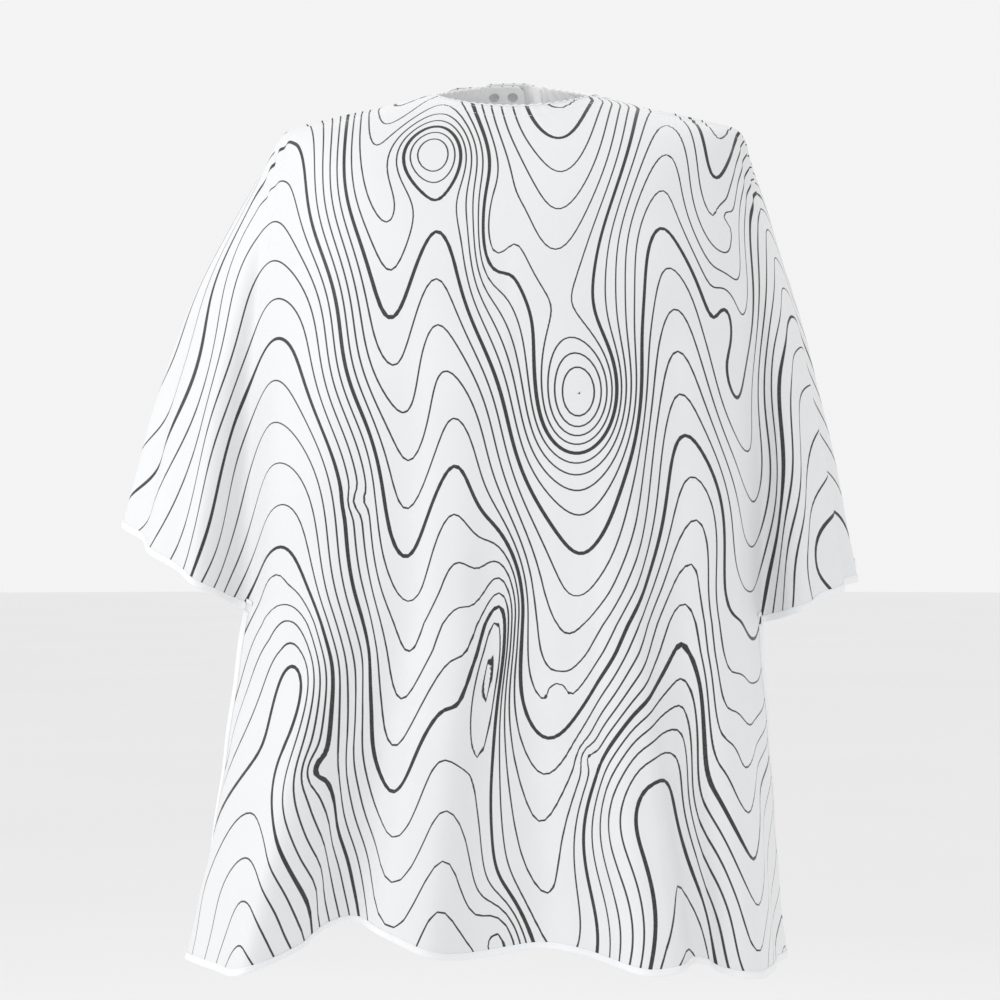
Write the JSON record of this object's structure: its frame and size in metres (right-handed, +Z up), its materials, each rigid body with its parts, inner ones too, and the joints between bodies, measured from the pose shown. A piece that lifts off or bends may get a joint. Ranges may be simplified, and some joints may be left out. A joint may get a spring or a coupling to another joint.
{
  "type": "barber cape",
  "caption": "White line-printed polyester hairdressing cape draped over shoulders and arms, with bound edges, an elastic neckline and a snap closure at the nape.",
  "frame": {"origin": "centre of the neck opening", "axes": "+Z up along the wearer's neck, the wearer faces -Y, +X is the wearer's left"},
  "size_m": [0.693, 0.3482, 0.8415],
  "materials": {
    "printed_polyester": "smooth water-repellent polyester with black printed lines",
    "white_binding": "plain white turned binding",
    "white_lining": "plain white facing",
    "knitted_elastic": "ribbed knitted elastic",
    "nickel_snap": "nickel plated"
  },
  "bodies": {
    "cape": {"cape_sheet": "printed_polyester", "neck_facing": "white_lining", "neck_elastic": "knitted_elastic", "front_hem": "white_binding", "side_hem_left": "white_binding", "side_hem_right": "white_binding", "arm_hem_left": "white_binding", "arm_hem_right": "white_binding", "back_edge_left": "white_binding", "back_edge_right": "white_binding", "slit_tack_left": "white_binding", "slit_tack_right": "white_binding", "care_label": "white_lining", "under_tab_inner": "white_lining", "under_tab_interlining": "white_lining", "under_tab_outer": "printed_polyester", "snap_post_1": "nickel_snap", "snap_post_2": "nickel_snap", "snap_post_3": "nickel_snap", "snap_post_4": "nickel_snap", "snap_stud_1": "nickel_snap", "snap_stud_2": "nickel_snap", "snap_stud_3": "nickel_snap", "snap_stud_4": "nickel_snap"},
    "over_tab": {"over_tab_inner": "white_lining", "over_tab_interlining": "white_lining", "over_tab_outer": "printed_polyester", "snap_socket_1": "nickel_snap", "snap_socket_2": "nickel_snap", "snap_cap_1": "nickel_snap", "snap_cap_2": "nickel_snap"}
  },
  "joints": [
    {"name": "over_tab_fold", "type": "hinge", "parent": "cape", "child": "over_tab", "pos_m": [0.03006, 0.06518, 0.00535], "axis": [0.1142, 0.5253, -0.8432], "range_deg": [0, 140]}
  ]
}
